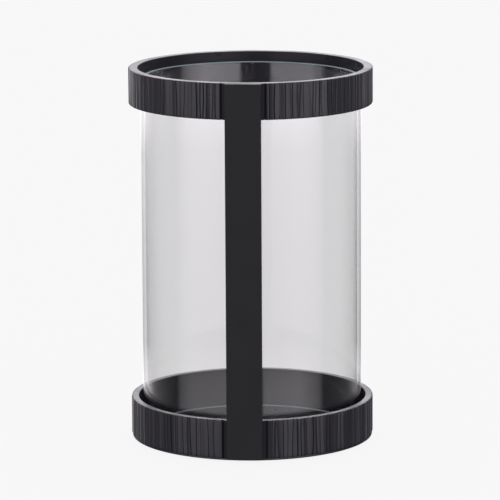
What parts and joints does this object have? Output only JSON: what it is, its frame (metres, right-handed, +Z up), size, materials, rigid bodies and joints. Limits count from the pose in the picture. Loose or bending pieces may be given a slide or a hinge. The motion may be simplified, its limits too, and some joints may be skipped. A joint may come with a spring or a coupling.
{
  "type": "hurricane candle lantern",
  "caption": "Black hurricane candle lantern: a clear glass cylinder between two fluted rings that are joined by an upright flat strap; the glass lifts out.",
  "frame": {"origin": "on the lantern's axis, at the height of the surface it stands on", "axes": "+Z up along the glass's axis; -Y towards the upright strap; +X to the right when facing the strap"},
  "size_m": [0.195, 0.1994, 0.3],
  "materials": {
    "ring_black": "cast, with a satin black powder coat",
    "strap_black": "matt black powder coat on flat steel bar",
    "clear_glass": "fire-polished clear soda-lime glass",
    "plate_black": "satin black powder coat on steel sheet",
    "felt": "black wool felt, self-adhesive",
    "screw_steel": "black-oxide steel"
  },
  "bodies": {
    "frame": {"top_ring": "ring_black", "base_ring": "ring_black", "upright_strap": "strap_black", "base_plate": "plate_black", "felt_base": "felt", "top_strap_screw_1": "screw_steel", "base_strap_screw_1": "screw_steel", "top_strap_screw_2": "screw_steel", "base_strap_screw_2": "screw_steel", "plate_screw_1": "screw_steel", "plate_screw_2": "screw_steel", "plate_screw_3": "screw_steel", "plate_screw_4": "screw_steel", "plate_screw_5": "screw_steel", "plate_screw_6": "screw_steel"},
    "glass": {"glass_cylinder": "clear_glass"}
  },
  "joints": [
    {"name": "glass_lift", "type": "slide", "parent": "frame", "child": "glass", "axis": [0, 0, 1], "range_m": [0, 0.3]}
  ]
}
